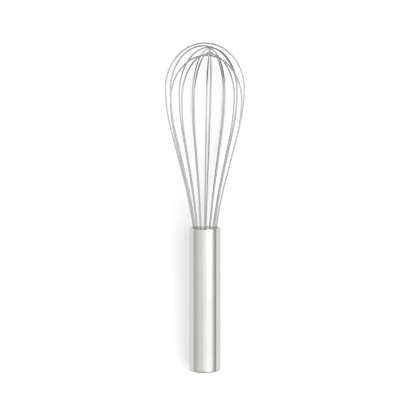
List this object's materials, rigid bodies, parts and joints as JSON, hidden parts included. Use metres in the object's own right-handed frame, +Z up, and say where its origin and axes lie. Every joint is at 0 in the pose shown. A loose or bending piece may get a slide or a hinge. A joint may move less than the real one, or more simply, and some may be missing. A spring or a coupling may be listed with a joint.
{
  "type": "balloon whisk",
  "caption": "Balloon whisk: a closed steel grip tube with nested round wire loops that form an open balloon for beating and folding.",
  "frame": {"origin": "on the table under the middle of the whisk's box", "axes": "+Z up from the table, +Y along the whisk from the grip's closed end to the crown of the loops, +X across it; the whisk lies at rest on its cap's edge and its lowest loop"},
  "size_m": [0.0604, 0.2489, 0.058],
  "materials": {
    "tube_steel": "satin, brushed along the tube",
    "cap_steel": "satin",
    "plate_steel": "satin",
    "potting_resin": "cast",
    "stop_steel": "as rolled",
    "wire_steel": "drawn and polished"
  },
  "bodies": {
    "root": {"handle_tube": "tube_steel", "end_cap": "cap_steel", "mouth_plate": "plate_steel", "wire_anchor": "potting_resin", "anchor_stop": "stop_steel", "wire_loop_1": "wire_steel", "wire_loop_2": "wire_steel", "wire_loop_3": "wire_steel", "wire_loop_4": "wire_steel", "wire_loop_5": "wire_steel", "wire_loop_6": "wire_steel", "wire_loop_7": "wire_steel", "wire_loop_8": "wire_steel"}
  },
  "joints": []
}
